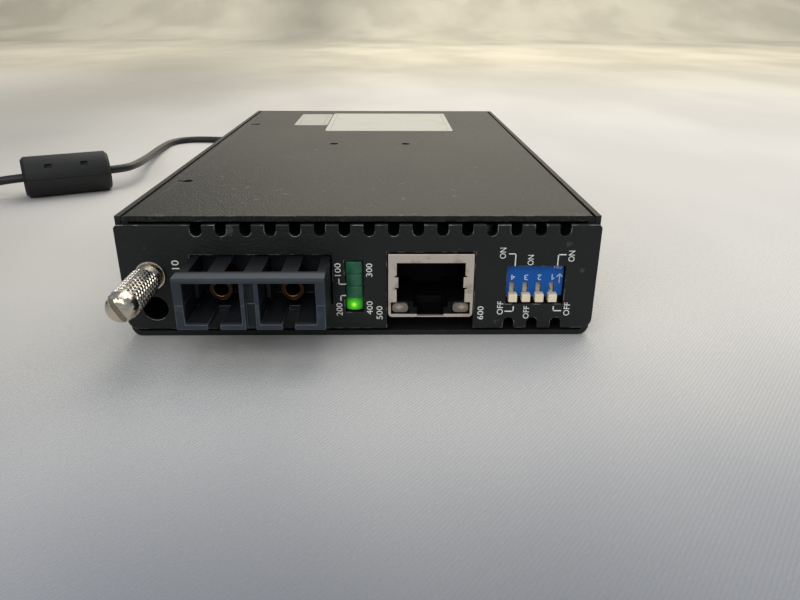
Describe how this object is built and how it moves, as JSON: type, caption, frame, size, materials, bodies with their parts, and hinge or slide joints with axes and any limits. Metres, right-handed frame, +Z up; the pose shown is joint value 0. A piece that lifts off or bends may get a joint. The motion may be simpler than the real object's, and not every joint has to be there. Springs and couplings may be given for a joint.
{
  "type": "fibre media converter",
  "caption": "Slide-in network card in a flat sheet-metal case, with a duplex optical receptacle, a network jack, a switch block, a captive thumbscrew and a power lead.",
  "frame": {"origin": "centre of the underside of the case's floor", "axes": "X to the right along the front panel, Y from the front panel to the rear wall, Z up"},
  "size_m": [0.2331, 0.2419, 0.03],
  "materials": {
    "steel_case": "satin grey-olive powder coat",
    "panel_black": "fine textured black powder coat",
    "bright_steel": "zinc-plated",
    "nickel": "bright nickel",
    "fibreglass": "green solder mask",
    "guide_plastic": "black moulded",
    "optic_blue": "dark slate blue moulded",
    "sleeve_bronze": "phosphor bronze",
    "lamp_green": "dark translucent green",
    "lamp_lit": "lit yellow-green",
    "black_plastic": "black moulded",
    "jack_plated": "satin nickel",
    "clear_lamp": "clear grey",
    "gold": "gold plated",
    "switch_blue": "blue moulded",
    "cream": "cream moulded",
    "chip_black": "epoxy",
    "cord_black": "black flexible vinyl",
    "ferrite_core": "sintered ferrite",
    "tie_black": "black"
  },
  "bodies": {
    "case": {"case_tray": "steel_case", "cover_plate": "steel_case", "cover_screws": "bright_steel", "guide_left": "guide_plastic", "guide_right": "guide_plastic", "plug_body": "cord_black", "plug_barrel": "nickel", "ferrite_case_lower": "black_plastic", "ferrite_core_lower": "ferrite_core", "cord_coil": "cord_black", "coil_tie": "tie_black", "power_cord": "cord_black", "adapter_lead": "cord_black", "adapter_case_lower": "black_plastic", "adapter_case_upper": "black_plastic", "adapter_blades": "nickel", "adapter_transformer": "ferrite_core", "adapter_relief": "cord_black"},
    "card": {"circuit_board": "fibreglass", "front_panel": "panel_black", "panel_screws": "bright_steel", "sc_lower_shell": "optic_blue", "sc_upper_shell": "optic_blue", "optical_sleeves": "sleeve_bronze", "sc_latch_clips": "optic_blue", "transceiver_box": "black_plastic", "led_1": "lamp_lit", "led_2": "lamp_green", "led_3": "lamp_green", "led_4": "lamp_green", "led_holder": "black_plastic", "jack_shield": "jack_plated", "jack_insert": "black_plastic", "jack_leds": "clear_lamp", "jack_contacts": "gold", "dip_base": "black_plastic", "dip_cover": "switch_blue", "screw_ferrule": "nickel", "lan_transformer": "chip_black", "converter_chip": "chip_black", "port_chip": "chip_black", "crystal": "nickel", "capacitors": "chip_black", "regulator": "chip_black", "power_jack": "black_plastic", "power_jack_pin": "nickel"},
    "slider_1": {"dip_slider_1": "cream"},
    "slider_2": {"dip_slider_2": "cream"},
    "slider_3": {"dip_slider_3": "cream"},
    "slider_4": {"dip_slider_4": "cream"},
    "screw_carrier": {"retaining_ring": "bright_steel", "screw_spring": "bright_steel"},
    "screw": {"thumbscrew": "nickel"},
    "ferrite_lid": {"ferrite_case_upper": "black_plastic", "ferrite_core_upper": "ferrite_core"}
  },
  "joints": [
    {"name": "card_slide", "type": "slide", "parent": "case", "child": "card", "axis": [0, -1, 0], "range_m": [0, 0.115]},
    {"name": "switch_1", "type": "slide", "parent": "card", "child": "slider_1", "axis": [0, 0, 1], "range_m": [0, 0.0017]},
    {"name": "switch_2", "type": "slide", "parent": "card", "child": "slider_2", "axis": [0, 0, 1], "range_m": [0, 0.0017]},
    {"name": "switch_3", "type": "slide", "parent": "card", "child": "slider_3", "axis": [0, 0, 1], "range_m": [0, 0.0017]},
    {"name": "switch_4", "type": "slide", "parent": "card", "child": "slider_4", "axis": [0, 0, 1], "range_m": [0, 0.0017]},
    {"name": "screw_push", "type": "slide", "parent": "card", "child": "screw_carrier", "axis": [0, 1, 0], "range_m": [0, 0.002], "deforming": ["screw_spring"]},
    {"name": "screw_turn", "type": "hinge", "parent": "screw_carrier", "child": "screw", "pos_m": [-0.0385, -0.0741, 0.0129], "axis": [0, 1, 0], "continuous": true},
    {"name": "clamp_hinge", "type": "hinge", "parent": "case", "child": "ferrite_lid", "pos_m": [-0.10833, 0.04767, 0.00675], "axis": [-0.8894, -0.4571, 0], "range_deg": [0, 100]}
  ]
}
